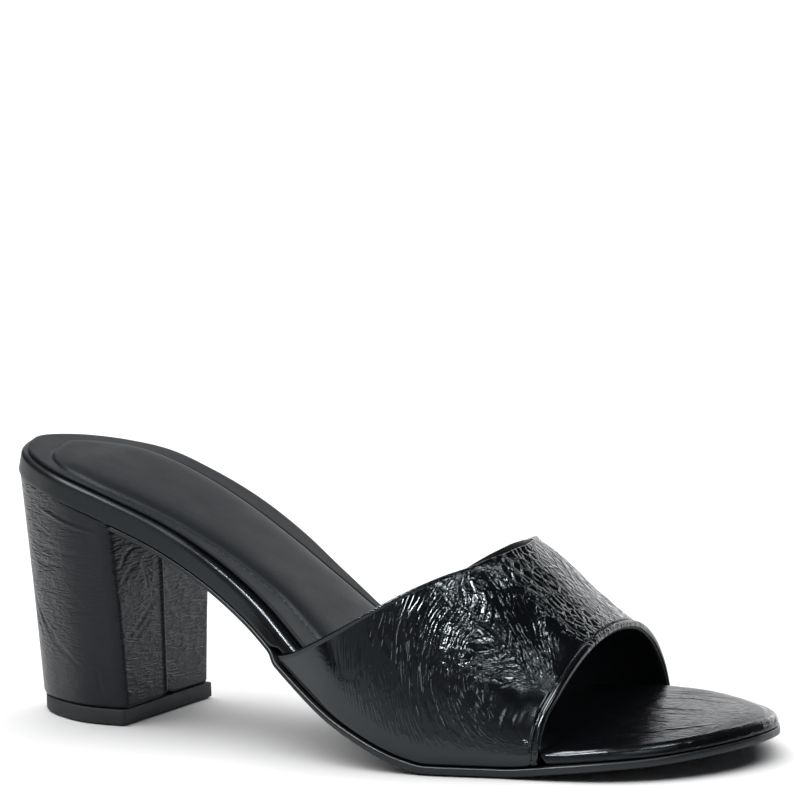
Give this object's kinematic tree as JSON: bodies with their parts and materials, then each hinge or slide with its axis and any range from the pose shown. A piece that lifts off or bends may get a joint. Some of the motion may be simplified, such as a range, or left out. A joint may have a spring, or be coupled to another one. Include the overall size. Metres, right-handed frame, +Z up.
{
  "type": "open-toe block heel mule",
  "caption": "Right open-toe mule: wide patent band over the foot, padded sock on a wrapped footbed, thin outsole, tall covered block heel with a rubber top lift.",
  "frame": {"origin": "on the floor, in the middle of the shoe's footprint", "axes": "+X from the heel to the toe, +Y to the inner (medial) side of this right shoe, +Z up"},
  "size_m": [0.229, 0.0906, 0.0771],
  "materials": {
    "outsole": "satin black sole sheet",
    "footbed_patent": "glossy black crinkled patent",
    "sock_lining": "smooth satin black lining",
    "upper_patent": "very glossy black crinkled patent",
    "heel_patent": "semi-gloss black crinkled patent",
    "top_lift": "dull black"
  },
  "bodies": {
    "root": {"outsole": "outsole", "midsole": "footbed_patent", "insole_sock": "sock_lining", "upper": "upper_patent", "heel_block": "heel_patent", "top_lift": "top_lift"}
  },
  "joints": []
}
